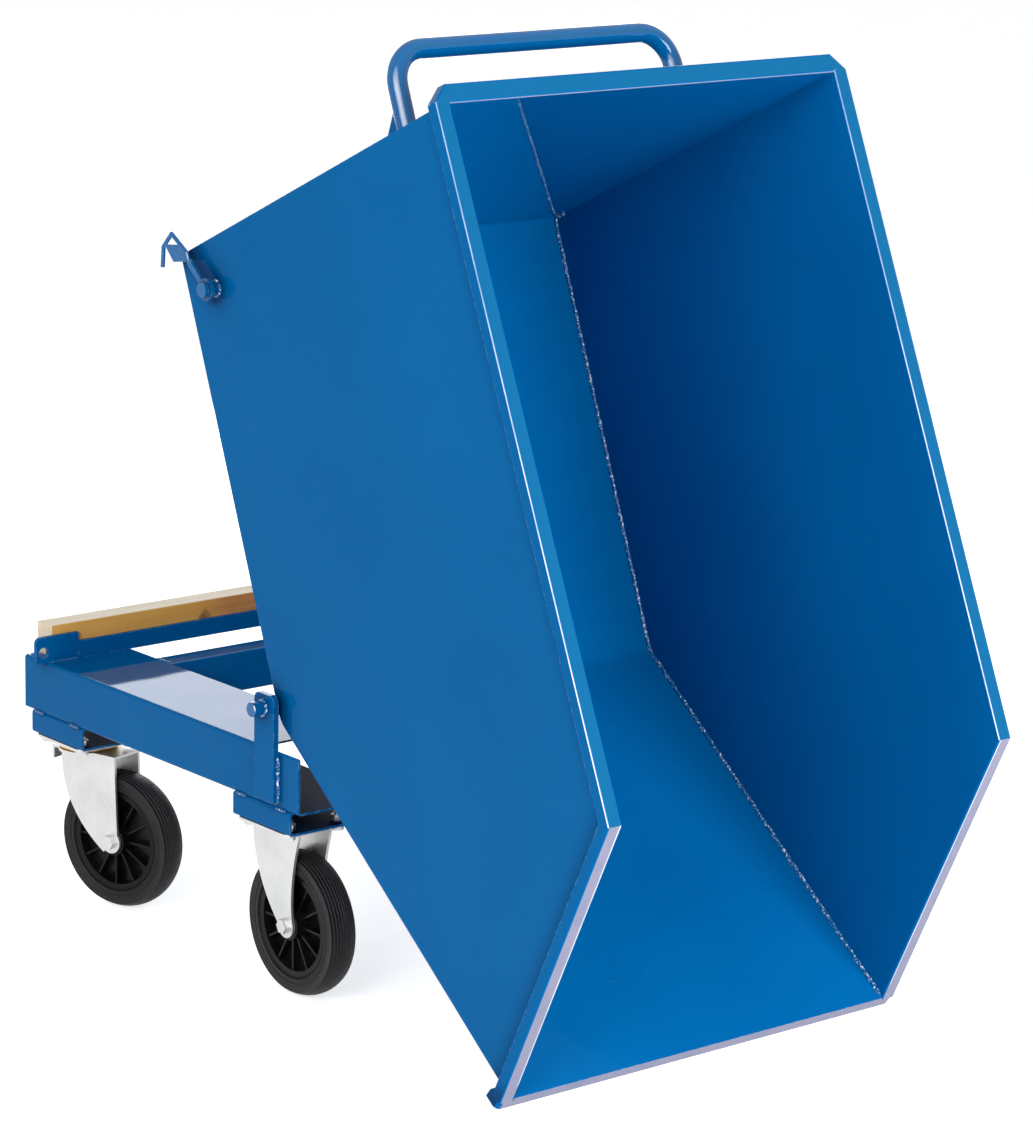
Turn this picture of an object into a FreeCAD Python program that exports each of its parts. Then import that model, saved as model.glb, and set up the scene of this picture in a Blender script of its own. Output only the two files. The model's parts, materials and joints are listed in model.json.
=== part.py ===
import FreeCAD, Part
import math
import os

# Tipping skip trolley: a sheet-steel skip that tips forward on a four-castor chassis.
# X points forward (the way the skip tips), Z points up, and Z = 0 is the floor.
# Pieces are drawn with X measured from the middle of the chassis, and saved with the origin
# on the floor under the middle of the trolley's overall length. All sizes are millimetres.

os.makedirs("parts", exist_ok=True)
Vec = FreeCAD.Vector
ALONG = Vec(1, 0, 0)
ACROSS = Vec(0, 1, 0)
UP = Vec(0, 0, 1)
SIDES = {"right": -1, "left": 1}

# Chassis
frame_length = 665.0
frame_width = 660.0
frame_sheet = 3.0
fold_radius = 1.5
member_height = 78.0
member_flange = 141.0
flange_cutback = 86.0
pad_height = 33.0
pad_length = 130.0
pad_flange = 120.0
cross_depth = 40.0
cross_height = 59.0
cross_front_x = -166.0

# Rest bar, stop angle and latch lug at the rear
bar_width = 38.0
bar_height = 46.0
bar_end_gap = 11.0
bar_edge_radius = 2.0
bar_front_x = -278.0
angle_sheet = 6.0
angle_height = 25.0
lug_height = 38.5
lug_inside = 52.0
lug_overhang = 19.5
lug_corner_radius = 9.0
lug_hole_radius = 8.0
lug_hole_overhang = 7.0
lug_hole_rise = 15.5
screw_radius = 3.0
screw_length = 34.0
screw_head_radius = 6.0
screw_head_height = 3.6
screw_margin = 20.0

# Tipping pivot
pivot_x = 261.0
pivot_z = 407.5
bracket_sheet = 8.0
bracket_width = 44.0
bracket_rise = 20.0
bracket_shift = 4.0
bracket_foot_lift = 8.0
bracket_corner_radius = 10.0
pin_radius = 10.0
pin_outside = 19.0
pin_inside = 44.0
pin_chamfer = 1.0
pivot_clearance = 0.08
tube_wall = 3.4
tube_end_gap = 0.6

# Skip, drawn upright: lengths along its side outline
skip_side_gap = 10.0
skip_sheet = 3.0
bottom_length = 635.0
rear_height = 627.0
rear_lean = 42.0
rim_length = 902.0
rim_rise = 28.0
lip_reach = 535.0
lip_rise = 324.0
pivot_setback = 23.0
rear_bend_radius = 12.0
front_bend_radius = 45.0
rim_width = 22.0
rim_drop = 17.0
rim_fold_radius = 2.8
lip_bar_width = 24.0
lip_bar_sheet = 14.0
lip_bar_corner_radius = 9.0

# Push handle on the rear wall
handle_radius = 13.5
handle_wall = 2.5
handle_inset = 89.0
handle_reach = 130.0
handle_bend = 48.0
handle_rise = 419.0
gusset_sheet = 5.0
gusset_reach = 60.0
gusset_drop = 54.0

# Latch lever on the right side of the skip, its points measured from the pin it turns on
latch_ahead = 60.5
latch_rise = 63.0
latch_pin_radius = 6.0
latch_clearance = 0.08
latch_head_radius = 10.0
latch_head_height = 6.0
latch_boss_radius = 10.0
latch_gap = 12.0
lever_sheet = 5.0
lever_side_play = 0.4
lever_eye_radius = 15.0
lever_arm_width = 8.0
lever_arm_end = (-44.0, -26.0)
lever_shoulder = (-56.5, -27.0)
lever_apex = (-88.5, -52.3)
lever_bend = (-77.0, -77.0)
lever_hook_end = (-52.0, -89.0)
lever_rod_radius = 3.0
thumb_edge = (-52.0, -60.0)
thumb_sheet = 3.0
thumb_top_share = 0.45
thumb_low_share = 0.8
rest_gap = 0.6

# Castor wheels
wheel_radius = 100.0
tyre_width = 40.0
tyre_depth = 28.0
tyre_crown = 6.0
tyre_bead_slope = 4.0
tyre_groove = 1.6
tyre_groove_depth = 12.0
rim_ring = 7.0
rim_ring_setback = 3.0
rim_ring_slope = 2.0
hub_radius = 21.0
hub_length = 47.0
hub_slope = 2.0
web_thickness = 7.0
rib_count = 12
rib_thickness = 3.0
rib_setback = 5.0
bush_radius = 11.0
axle_radius = 6.0
axle_clearance = 0.05
axle_flats = 18.0
axle_head_height = 7.5
axle_nut_height = 10.0
thread_past_nut = 4.0

# Castor forks, plates and races
hub_side_play = 0.5
fork_sheet = 4.0
fork_eye_radius = 17.0
plate_length = 114.0
plate_width = 108.0
plate_corner_radius = 10.0
plate_hole_x = 88.0
plate_hole_y = 80.0
castor_bolt_radius = 5.0
castor_bolt_flats = 16.0
castor_bolt_head_height = 6.4
castor_nut_height = 8.0
castor_inset = 54.0
castor_head_room = 40.0
front_axle_x = 269.0
fixed_plate_back = 20.0
fixed_leg_rear = 75.0
fixed_leg_front = 31.0
fixed_leg_waist = 4.0
fixed_leg_waist_rise = 50.0
fixed_leg_belly_rise = 60.0
rear_castor_x = -249.5
castor_trail = 63.0
castor_turn_angle = 16.0
crown_rear = 45.0
crown_front = 71.0
crown_apron = 16.0
swivel_leg_rear = 27.0
swivel_leg_belly = 30.0
swivel_leg_belly_rise = 38.0
swivel_leg_toe = 13.0
race_radius = 44.0
race_height = 9.0
race_lip = 3.0
race_gap = 0.4
kingpin_radius = 8.0
kingpin_clearance = 0.05
kingpin_flats = 24.0
kingpin_nut_height = 9.6

# How far a cutting tool reaches past the face that it cuts
past = 1.0

# Values that follow from the sizes above
half_frame = frame_width / 2
pad_bottom = 2 * wheel_radius + castor_head_room
member_bottom = pad_bottom + pad_height
member_top = member_bottom + member_height
inner_edge = half_frame - member_flange
front_castor_x = front_axle_x - fixed_plate_back
half_skip = half_frame - skip_side_gap
panel_outside = half_skip + skip_sheet
rim_outside = half_skip + rim_width
half_handle = half_skip - handle_inset
half_bar = half_frame - bar_end_gap
lug_inner_y = -half_frame + lug_inside
lug_outer_y = -half_frame - lug_overhang
lug_hole_y = -half_frame - lug_hole_overhang
tube_radius = pin_radius + pivot_clearance + tube_wall
castor_y = half_frame - castor_inset
fork_half_gap = hub_length / 2 + hub_side_play
fork_top = pad_bottom - fork_sheet
crown_top = fork_top - race_height - 2 * race_gap
crown_low = crown_top - fork_sheet
bar_bottom = member_top + angle_sheet
bar_top = bar_bottom + bar_height
bar_rear_x = bar_front_x - bar_width

# Side outline of the skip, upright, measured from the tipping pivot as (forward, up)
heel = (pivot_setback, tube_radius)
rear_foot = (heel[0] - bottom_length, heel[1])
rear_top = (rear_foot[0] - rear_lean, rear_foot[1] + rear_height)
rim_end = (rear_top[0] + rim_length, rear_top[1] + rim_rise)
lip = (heel[0] + lip_reach, heel[1] + lip_rise)
skip_outline = [rear_top, rear_foot, heel, lip, rim_end]
slope_angle = math.atan2(lip_rise, lip_reach)
rim_pitch = math.atan2(rim_rise, rim_length)
toe_x = lip[0] + lip_bar_sheet * math.sin(slope_angle)
toe_z = lip[1] - lip_bar_sheet * math.cos(slope_angle)

# The skip is tipped until the lip meets the floor, and swings back until it meets the rest bar
tip_angle = math.degrees(math.atan2(toe_z, toe_x) + math.asin(pivot_z / math.hypot(toe_x, toe_z)))
bar_drop_angle = math.atan2(pivot_z - bar_top, pivot_x - bar_rear_x)
bar_reach = math.hypot(pivot_x - bar_rear_x, pivot_z - bar_top)
lean_angle = math.degrees(math.asin((tube_radius - rest_gap) / bar_reach) + bar_drop_angle)


def tipped_point(point):
    """Where an upright outline point lies once the skip is tipped, as (forward, up)."""
    turn = math.radians(tip_angle)
    forward = pivot_x + point[0] * math.cos(turn) + point[1] * math.sin(turn)
    return forward, pivot_z - point[0] * math.sin(turn) + point[1] * math.cos(turn)


middle_x = (tipped_point(rim_end)[0] - frame_length / 2) / 2


# Saving and placing


def save(name, shape):
    """Write one piece, or one group of alike pieces, to its STEP file."""
    moved = shape.copy()
    moved.translate(Vec(-middle_x, 0, 0))
    moved.exportStep("parts/" + name + ".step")


def group(shapes):
    """Put separate solids together in one file without joining them."""
    return Part.makeCompound(shapes)


def on_left(shape):
    """The same piece on the other side of the trolley."""
    return shape.mirror(Vec(0, 0, 0), ACROSS)


def both_sides(name, shape):
    """Save a right-hand piece and its left-hand mirror image."""
    save(name + "_right", shape)
    save(name + "_left", on_left(shape))


def tipped(shape):
    """Move a piece drawn upright about the pivot to its tipped place on the chassis."""
    moved = shape.copy()
    moved.rotate(Vec(0, 0, 0), ACROSS, tip_angle)
    moved.translate(Vec(pivot_x, 0, pivot_z))
    return moved


def on_castor(shape, castor_x, side, turn=0.0):
    """Move a piece drawn about a castor's own axis to its place under the chassis."""
    moved = shape.copy()
    moved.rotate(Vec(0, 0, 0), UP, turn)
    moved.translate(Vec(castor_x, side * castor_y, 0))
    return moved


def on_axle(shape, forward):
    """Lift a wheel piece from the origin to its axle."""
    moved = shape.copy()
    moved.translate(Vec(forward, 0, wheel_radius))
    return moved


# Basic shapes


def box(x0, x1, y0, y1, z0, z1):
    return Part.makeBox(x1 - x0, y1 - y0, z1 - z0, Vec(x0, y0, z0))


def rod(radius, start, end):
    """Solid round bar between two points."""
    start = Vec(*start)
    way = Vec(*end) - start
    return Part.makeCylinder(radius, way.Length, start, way)


def plate_xz(points, y0, y1):
    """Flat plate with an outline in the XZ plane, from y0 to y1."""
    wire = Part.makePolygon([Vec(x, y0, z) for x, z in points + points[:1]])
    return Part.Face(wire).extrude(Vec(0, y1 - y0, 0))


def plate_yz(points, x0, x1):
    """Flat plate with an outline in the YZ plane, from x0 to x1."""
    wire = Part.makePolygon([Vec(x0, y, z) for y, z in points + points[:1]])
    return Part.Face(wire).extrude(Vec(x1 - x0, 0, 0))


def spun(wire, axis):
    """Ring or disc turned about an axis from a closed outline in the XZ plane."""
    solid = Part.Face(wire).revolve(Vec(0, 0, 0), UP, 360)
    solid.Placement = FreeCAD.Placement(Vec(0, 0, 0), FreeCAD.Rotation(UP, axis))
    return solid


def ring_outline(points):
    """Closed outline of (radius, along) points for a turned piece."""
    return Part.makePolygon([Vec(r, 0, a) for r, a in points + points[:1]])


def hexagon(across_flats, height, base, axis):
    """Hexagon head or nut standing on a base point along an axis."""
    corner = across_flats / math.sqrt(3)
    turns = [math.radians(60 * k) for k in range(7)]
    wire = Part.makePolygon([Vec(corner * math.cos(a), corner * math.sin(a), 0) for a in turns])
    solid = Part.Face(wire).extrude(Vec(0, 0, height))
    solid.Placement = FreeCAD.Placement(Vec(*base), FreeCAD.Rotation(UP, axis))
    return solid


def rounded(shape, radius, chosen):
    """Round the edges whose middle point passes the test."""
    return shape.makeFillet(radius, [e for e in shape.Edges if chosen(e.CenterOfMass, e)])


def runs_along(edge, way):
    return abs(edge.tangentAt(edge.FirstParameter).dot(way)) > 0.99


def drilled(shape, places, radius, z0, z1):
    """Drill upright holes at the given places."""
    for x, y in places:
        shape = shape.cut(rod(radius, (x, y, z0), (x, y, z1)))
    return shape


def cross_point(p, q, r, s):
    """Meeting point of the lines p-q and r-s."""
    ax, az = q[0] - p[0], q[1] - p[1]
    bx, bz = s[0] - r[0], s[1] - r[1]
    k = ((r[0] - p[0]) * bz - (r[1] - p[1]) * bx) / (ax * bz - az * bx)
    return p[0] + k * ax, p[1] + k * az


def shifted(p, q, distance):
    """The line p-q moved sideways, to its left as seen going from p to q."""
    length = math.hypot(q[0] - p[0], q[1] - p[1])
    dx, dz = -(q[1] - p[1]) * distance / length, (q[0] - p[0]) * distance / length
    return (p[0] + dx, p[1] + dz), (q[0] + dx, q[1] + dz)


def on_line(p, q, x, z):
    """Whether a point lies on the line p-q."""
    length = math.hypot(q[0] - p[0], q[1] - p[1])
    return abs((q[0] - p[0]) * (z - p[1]) - (q[1] - p[1]) * (x - p[0])) / length < 0.01


def between(p, q, share):
    """A point part of the way from p to q."""
    return p[0] + share * (q[0] - p[0]), p[1] + share * (q[1] - p[1])


def curve(start, pull, end):
    """Smooth edge in the XZ plane from start to end, drawn toward a pull point."""
    bend = Part.BezierCurve()
    bend.setPoles([Vec(x, 0, z) for x, z in (start, pull, end)])
    return bend.toShape()


def line(start, end):
    """Straight edge in the XZ plane."""
    return Part.makeLine(Vec(start[0], 0, start[1]), Vec(end[0], 0, end[1]))


# Chassis pieces


def channel(x0, x1, z0, z1, flange):
    """Folded channel on the right side: web outside, both flanges pointing inward."""
    y0 = -half_frame
    y1 = y0 + flange
    y_in = y0 + frame_sheet
    z0_in = z0 + frame_sheet
    z1_in = z1 - frame_sheet
    outside = [(y1, z0), (y0, z0), (y0, z1), (y1, z1)]
    inside = [(y1, z1_in), (y_in, z1_in), (y_in, z0_in), (y1, z0_in)]
    solid = plate_yz(outside + inside, x0, x1)
    is_inside = lambda p, e: runs_along(e, ALONG) and abs(p.y - y_in) < 0.01
    is_outside = lambda p, e: runs_along(e, ALONG) and abs(p.y - y0) < 0.01
    return rounded(rounded(solid, fold_radius, is_inside), fold_radius + frame_sheet, is_outside)


def side_member():
    """Long chassis channel, its top flange cut away at the front where the skip swings."""
    solid = channel(-frame_length / 2, frame_length / 2, member_bottom, member_top, member_flange)
    cut_start = frame_length / 2 - flange_cutback
    cut_low = member_top - frame_sheet - fold_radius
    return solid.cut(box(cut_start, frame_length, -half_frame + frame_sheet, 0, cut_low, member_top + past))


def bolt_places(castor_x):
    """The four bolt places of one castor on the right side."""
    corners = [(sx, sy) for sx in (-1, 1) for sy in (-1, 1)]
    return [(castor_x + sx * plate_hole_x / 2, -castor_y + sy * plate_hole_y / 2) for sx, sy in corners]


def castor_pad(castor_x):
    """Short channel under the side member that a castor bolts to."""
    half = pad_length / 2
    solid = channel(castor_x - half, castor_x + half, pad_bottom, member_bottom, pad_flange)
    floor_top = pad_bottom + frame_sheet
    return drilled(solid, bolt_places(castor_x), castor_bolt_radius, pad_bottom - past, floor_top + past)


def castor_bolts(castor_x):
    """Four bolts that hold one castor, heads below and nuts inside the pad."""
    pieces = []
    nut_z = pad_bottom + frame_sheet
    end_z = nut_z + castor_nut_height + thread_past_nut
    for x, y in bolt_places(castor_x):
        shank = rod(castor_bolt_radius, (x, y, fork_top), (x, y, end_z))
        head_z = fork_top - castor_bolt_head_height
        pieces.append(shank.fuse(hexagon(castor_bolt_flats, castor_bolt_head_height, (x, y, head_z), UP)))
        nut = hexagon(castor_bolt_flats, castor_nut_height, (x, y, nut_z), UP)
        pieces.append(nut.cut(rod(castor_bolt_radius, (x, y, pad_bottom), (x, y, end_z))))
    return pieces


def cross_member():
    """Folded cross channel between the side members, its web at the front."""
    x0 = cross_front_x - cross_depth
    x1 = cross_front_x
    x1_in = x1 - frame_sheet
    z0 = member_top - cross_height
    z1 = member_top
    z0_in = z0 + frame_sheet
    z1_in = z1 - frame_sheet
    outside = [(x0, z0), (x1, z0), (x1, z1), (x0, z1)]
    inside = [(x0, z1_in), (x1_in, z1_in), (x1_in, z0_in), (x0, z0_in)]
    solid = plate_xz(outside + inside, -inner_edge, inner_edge)
    is_inside = lambda p, e: runs_along(e, ACROSS) and abs(p.x - x1_in) < 0.01
    is_outside = lambda p, e: runs_along(e, ACROSS) and abs(p.x - x1) < 0.01
    return rounded(rounded(solid, fold_radius, is_inside), fold_radius + frame_sheet, is_outside)


def screw_places():
    """Three screws under the rest bar, between the side members."""
    outer = inner_edge - screw_margin
    return [((bar_rear_x + bar_front_x) / 2, y) for y in (-outer, 0, outer)]


def stop_angle():
    """Rear angle bar: a shelf for the rest bar with an upstand in front of it."""
    upstand_x = bar_front_x + angle_sheet
    shelf = box(bar_rear_x, upstand_x, -half_frame, half_frame, member_top, bar_bottom)
    upstand = box(bar_front_x, upstand_x, lug_inner_y, half_frame, member_top, member_top + angle_height)
    solid = shelf.fuse(upstand).removeSplitter()
    lug_room = box(bar_front_x, upstand_x, lug_outer_y, lug_inner_y, member_top, bar_bottom)
    return drilled(solid.cut(lug_room), screw_places(), screw_radius, member_top - past, bar_bottom + past)


def latch_lug():
    """Plate at the end of the stop angle with the hole that the latch hook enters."""
    x0 = bar_front_x
    x1 = bar_front_x + angle_sheet
    top = member_top + lug_height
    solid = box(x0, x1, lug_outer_y, lug_inner_y, member_top, top)
    at_corner = lambda p, e: abs(p.y - lug_outer_y) < 0.01 and abs(p.z - top) < 0.01
    solid = rounded(solid, lug_corner_radius, at_corner)
    hole_z = member_top + lug_hole_rise
    return solid.cut(rod(lug_hole_radius, (x0 - past, lug_hole_y, hole_z), (x1 + past, lug_hole_y, hole_z)))


def bar_screws():
    """Wood screws that hold the rest bar from below the shelf."""
    pieces = []
    for x, y in screw_places():
        shank = rod(screw_radius, (x, y, member_top), (x, y, bar_bottom + screw_length))
        head = rod(screw_head_radius, (x, y, member_top - screw_head_height), (x, y, member_top))
        pieces.append(shank.fuse(head))
    return pieces


def rest_bar():
    """Timber bar that the upright skip rests on."""
    solid = box(bar_rear_x, bar_front_x, -half_bar, half_bar, bar_bottom, bar_top)
    solid = rounded(solid, bar_edge_radius, lambda p, e: runs_along(e, ACROSS))
    return drilled(solid, screw_places(), screw_radius, bar_bottom - past, bar_bottom + screw_length)


def pivot_bracket():
    """Upright plate on the outside of the side member that carries the pivot pin."""
    x0 = pivot_x + bracket_shift - bracket_width / 2
    z0 = member_bottom + bracket_foot_lift
    z1 = pivot_z + bracket_rise
    outside = -half_frame - bracket_sheet
    solid = box(x0, x0 + bracket_width, outside, -half_frame, z0, z1)
    solid = rounded(solid, bracket_corner_radius, lambda p, e: runs_along(e, ACROSS) and abs(p.z - z1) < 0.01)
    return solid.cut(rod(pin_radius, (pivot_x, outside - past, pivot_z), (pivot_x, 0, pivot_z)))


def pivot_pin():
    """Stub pin welded in the bracket, reaching into the tube under the skip."""
    outer = -half_frame - bracket_sheet - pin_outside
    inner = -half_frame + pin_inside
    solid = rod(pin_radius, (pivot_x, outer, pivot_z), (pivot_x, inner, pivot_z))
    ends = [e for e in solid.Edges if e.Closed]
    return solid.makeChamfer(pin_chamfer, ends)


# Skip pieces, drawn upright about the pivot


def inset_outline():
    """Skip outline moved inward by the sheet from the rear wall, the bottom and the front slope."""
    rear = shifted(rear_top, rear_foot, skip_sheet)
    bottom = shifted(rear_foot, heel, skip_sheet)
    slope = shifted(heel, lip, skip_sheet)
    top_corner = cross_point(rear_top, rim_end, *rear)
    lip_corner = cross_point(rim_end, lip, *slope)
    return [top_corner, cross_point(*rear, *bottom), cross_point(*bottom, *slope), lip_corner, rim_end]


def bent_prism(points, y0, y1, rear_radius, front_radius):
    """Skip-shaped block with its two bends rounded."""
    solid = plate_xz(points, y0, y1)
    for (x, z), radius in ((points[1], rear_radius), (points[2], front_radius)):
        solid = rounded(solid, radius, lambda p, e: abs(p.x - x) < 0.01 and abs(p.z - z) < 0.01)
    return solid


def rear_rim():
    """Outward fold along the rear wall with both corners cut at 45 degrees, pitched with the rim."""

    def fold(depth, margin, bottom, top):
        half = rim_outside - margin
        points = [(0, -half), (-depth, depth - half), (-depth, half - depth), (0, half)]
        wire = Part.makePolygon([Vec(x, y, bottom) for x, y in points + points[:1]])
        return Part.Face(wire).extrude(Vec(0, 0, top - bottom))

    corner_margin = skip_sheet * (1 + math.tan(math.radians(22.5)))
    hollow = fold(rim_width - skip_sheet, corner_margin, -2 * rim_drop, -skip_sheet)
    solid = fold(rim_width, 0, -rim_drop, 0)
    is_fold = lambda p, e: abs(p.z) < 0.01 and p.x < -past
    solid = rounded(solid, rim_fold_radius, is_fold).cut(hollow)
    solid = solid.fuse(box(0, skip_sheet / 2, -half_skip, half_skip, -skip_sheet, 0))
    solid.rotate(Vec(0, 0, 0), ACROSS, -math.degrees(rim_pitch))
    solid.translate(Vec(rear_top[0], 0, rear_top[1]))
    return solid


def skip_wrap():
    """One bent sheet: rear wall, bottom and front slope, with the rear rim folded outward."""
    inner = inset_outline()
    outside = bent_prism(skip_outline, -half_skip, half_skip, rear_bend_radius, front_bend_radius)
    inside = bent_prism(inner, -half_skip, half_skip,
                        rear_bend_radius - skip_sheet, front_bend_radius - skip_sheet)
    solid = outside.cut(inside).fuse(rear_rim()).removeSplitter()
    x, z = inner[0]
    return rounded(solid, rim_fold_radius, lambda p, e: abs(p.x - x) < 0.01 and abs(p.z - z) < 0.01)


def side_panel():
    """Flat side sheet with its top and slanted edges folded outward into a rim."""
    panel = bent_prism(skip_outline, -panel_outside, -half_skip, rear_bend_radius, front_bend_radius)
    back = (rear_top, rear_foot)

    def band(near, far, y0):
        top_near, top_far = shifted(rim_end, rear_top, near), shifted(rim_end, rear_top, far)
        front_near, front_far = shifted(lip, rim_end, near), shifted(lip, rim_end, far)
        near_edge = [cross_point(*top_near, *back), cross_point(*top_near, *front_near),
                     cross_point(*front_near, heel, lip)]
        far_edge = [cross_point(*front_far, heel, lip), cross_point(*top_far, *front_far),
                    cross_point(*top_far, *back)]
        return plate_xz(near_edge + far_edge, y0, -panel_outside)

    def is_fold(p, e):
        at_bend = abs(p.y + rim_outside) < 0.01 or abs(p.y + half_skip) < 0.01
        return at_bend and (on_line(rear_top, rim_end, p.x, p.z) or on_line(rim_end, lip, p.x, p.z))

    block = panel.fuse(band(0, rim_drop, -rim_outside)).removeSplitter()
    hollow = band(skip_sheet, 2 * rim_drop, -rim_outside + skip_sheet)
    return rounded(block, rim_fold_radius, is_fold).cut(hollow)


def lip_bar():
    """Bar under the pouring lip, as wide as the rim, with its front corners rounded."""
    back = between(lip, heel, lip_bar_width / math.hypot(lip_reach, lip_rise))
    low_back, low_lip = shifted(back, lip, -lip_bar_sheet)
    solid = plate_xz([back, low_back, low_lip, lip], -rim_outside, rim_outside)
    middle = between(lip, low_lip, 0.5)
    at_end = lambda p, e: abs(p.x - middle[0]) < 0.01 and abs(p.z - middle[1]) < 0.01 and abs(p.y) > half_skip
    return rounded(solid, lip_bar_corner_radius, at_end)


def pivot_tube():
    """Tube under the bottom that turns on the two stub pins."""
    end = half_frame - tube_end_gap
    outside = rod(tube_radius, (0, -end, 0), (0, end, 0))
    return outside.cut(rod(pin_radius + pivot_clearance, (0, -end - past, 0), (0, end + past, 0)))


def wall_at(z):
    """How far forward the outside of the rear wall lies at a height."""
    return rear_foot[0] - rear_lean * (z - rear_foot[1]) / rear_height


def handle_path(start_x, z):
    """Centre line of the handle: out from the wall, across, and back."""
    grip_x = wall_at(z) - handle_reach
    cut_in = handle_bend * (1 - math.sqrt(0.5))
    legs = []
    for side in (-1, 1):
        y = side * half_handle
        start, knee = Vec(start_x, y, z), Vec(grip_x + handle_bend, y, z)
        middle = Vec(grip_x + cut_in, y - side * cut_in, z)
        turn = Vec(grip_x, y - side * handle_bend, z)
        legs.append((Part.makeLine(start, knee), Part.Arc(knee, middle, turn).toShape(), turn))
    (leg, bend, turn), (other_leg, other_bend, other_turn) = legs
    return Part.Wire([leg, bend, Part.makeLine(turn, other_turn), other_bend, other_leg])


def handle():
    """Bent tube across the rear wall, its feet cut to the wall's lean."""
    z = rear_foot[1] + handle_rise
    root_x = wall_at(z - 2 * handle_radius)
    path = handle_path(root_x, z)

    def swept(radius):
        ring = Part.Wire(Part.makeCircle(radius, Vec(root_x, -half_handle, z), ALONG))
        return path.makePipeShell([ring], True, False)

    tube = swept(handle_radius).cut(swept(handle_radius - handle_wall))
    return tube.cut(plate_xz(skip_outline, -half_skip, half_skip))


def handle_gussets():
    """Small plates that brace the handle's legs against the wall."""
    z = rear_foot[1] + handle_rise
    low_z = z - handle_radius - gusset_drop
    tip_x = wall_at(z) - gusset_reach
    points = [(wall_at(z), z), (wall_at(low_z), low_z), (tip_x, z - handle_radius), (tip_x, z)]
    plates = []
    for side in (-1, 1):
        y = side * half_handle
        plate = plate_xz(points, y - gusset_sheet / 2, y + gusset_sheet / 2)
        plates.append(plate.cut(rod(handle_radius, (wall_at(low_z), y, z), (tip_x - past, y, z))))
    return plates


# Latch pieces


def latch_place():
    return rear_foot[0] + latch_ahead, rear_foot[1] + latch_rise


def latch_spacer():
    """Boss welded on the side panel that stands the latch lever off it."""
    x, z = latch_place()
    solid = rod(latch_boss_radius, (x, -panel_outside, z), (x, -panel_outside - latch_gap, z))
    return solid.cut(rod(latch_pin_radius, (x, 0, z), (x, -frame_width, z)))


def latch_bolt():
    """Round-headed pin in the boss that the lever turns on."""
    x, z = latch_place()
    head_y = -panel_outside - latch_gap - lever_sheet - 2 * lever_side_play
    shank = rod(latch_pin_radius, (x, head_y, z), (x, -panel_outside, z))
    head = rod(latch_head_radius, (x, head_y - latch_head_height, z), (x, head_y, z))
    return shank.fuse(head)


def latch_lever():
    """Lever with an eye, a thumb plate and a bent hook of round bar."""
    x, z = latch_place()
    y1 = -panel_outside - latch_gap - lever_side_play
    y0 = y1 - lever_sheet
    middle = (y0 + y1) / 2
    bends = (lever_arm_end, lever_shoulder, lever_apex, lever_bend, lever_hook_end)
    route = [(x + dx, z + dz) for dx, dz in bends]
    arm_end, shoulder, apex, bend, hook_end = route
    solid = Part.makeCylinder(lever_eye_radius, lever_sheet, Vec(x, y0, z), ACROSS)
    upper = shifted((x, z), arm_end, lever_arm_width / 2)
    lower = shifted((x, z), arm_end, -lever_arm_width / 2)
    solid = solid.fuse(plate_xz([upper[0], upper[1], lower[1], lower[0]], y0, y1))
    thumb = [shoulder, between(shoulder, apex, thumb_top_share), between(apex, bend, thumb_low_share),
             (x + thumb_edge[0], z + thumb_edge[1]), arm_end]
    solid = solid.fuse(plate_xz(thumb, middle - thumb_sheet / 2, middle + thumb_sheet / 2))
    for start, end in zip(route, route[1:]):
        solid = solid.fuse(rod(lever_rod_radius, (start[0], middle, start[1]), (end[0], middle, end[1])))
    for bend_x, bend_z in route[:-1]:
        solid = solid.fuse(Part.makeSphere(lever_rod_radius, Vec(bend_x, middle, bend_z)))
    hole = rod(latch_pin_radius + latch_clearance, (x, y0 - past, z), (x, y1 + past, z))
    return solid.cut(hole).removeSplitter()


# Castor pieces, drawn about the castor's own axis with the wheel about +Y


def tyre():
    """Solid rubber tyre with a round tread and a fine groove in each side."""
    half = tyre_width / 2
    bead = wheel_radius - tyre_depth
    shoulder = wheel_radius - tyre_crown
    groove = shoulder - tyre_groove_depth
    side = [(bead, tyre_bead_slope - half), (bead + tyre_bead_slope, -half), (groove - tyre_groove, -half),
            (groove, tyre_groove - half), (groove + tyre_groove, -half), (shoulder, -half)]
    other = [(r, -a) for r, a in reversed(side)]
    edges = [line(p, q) for p, q in zip(side, side[1:])]
    edges.append(Part.Arc(Vec(shoulder, 0, -half), Vec(wheel_radius, 0, 0), Vec(shoulder, 0, half)).toShape())
    edges += [line(p, q) for p, q in zip(other, other[1:] + side[:1])]
    return spun(Part.Wire(edges), ACROSS)


def wheel_centre():
    """Moulded wheel centre: rim ring, disc, radial ribs and hub."""
    rim = wheel_radius - tyre_depth
    ring_inside = rim - rim_ring
    ring_half = tyre_width / 2 - rim_ring_setback
    web = web_thickness / 2
    hub = hub_length / 2
    points = [(bush_radius, -hub), (hub_radius, -hub), (hub_radius + hub_slope, -web),
              (ring_inside - rim_ring_slope, -web), (ring_inside, -ring_half), (rim, -ring_half)]
    mirrored = [(r, -a) for r, a in reversed(points)]
    solid = spun(ring_outline(points + mirrored), ACROSS)
    rib_half = tyre_width / 2 - rib_setback
    thin = rib_thickness / 2
    rib = box(hub_radius - past, ring_inside + past, -rib_half, rib_half, -thin, thin)
    for k in range(rib_count):
        turned = rib.copy()
        turned.rotate(Vec(0, 0, 0), ACROSS, 360.0 * k / rib_count)
        solid = solid.fuse(turned)
    return solid.removeSplitter()


def wheel_bush():
    """Plain bush pressed into the hub."""
    bore = axle_radius + axle_clearance
    hub = hub_length / 2
    return spun(ring_outline([(bore, -hub), (bush_radius, -hub), (bush_radius, hub), (bore, hub)]), ACROSS)


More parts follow.
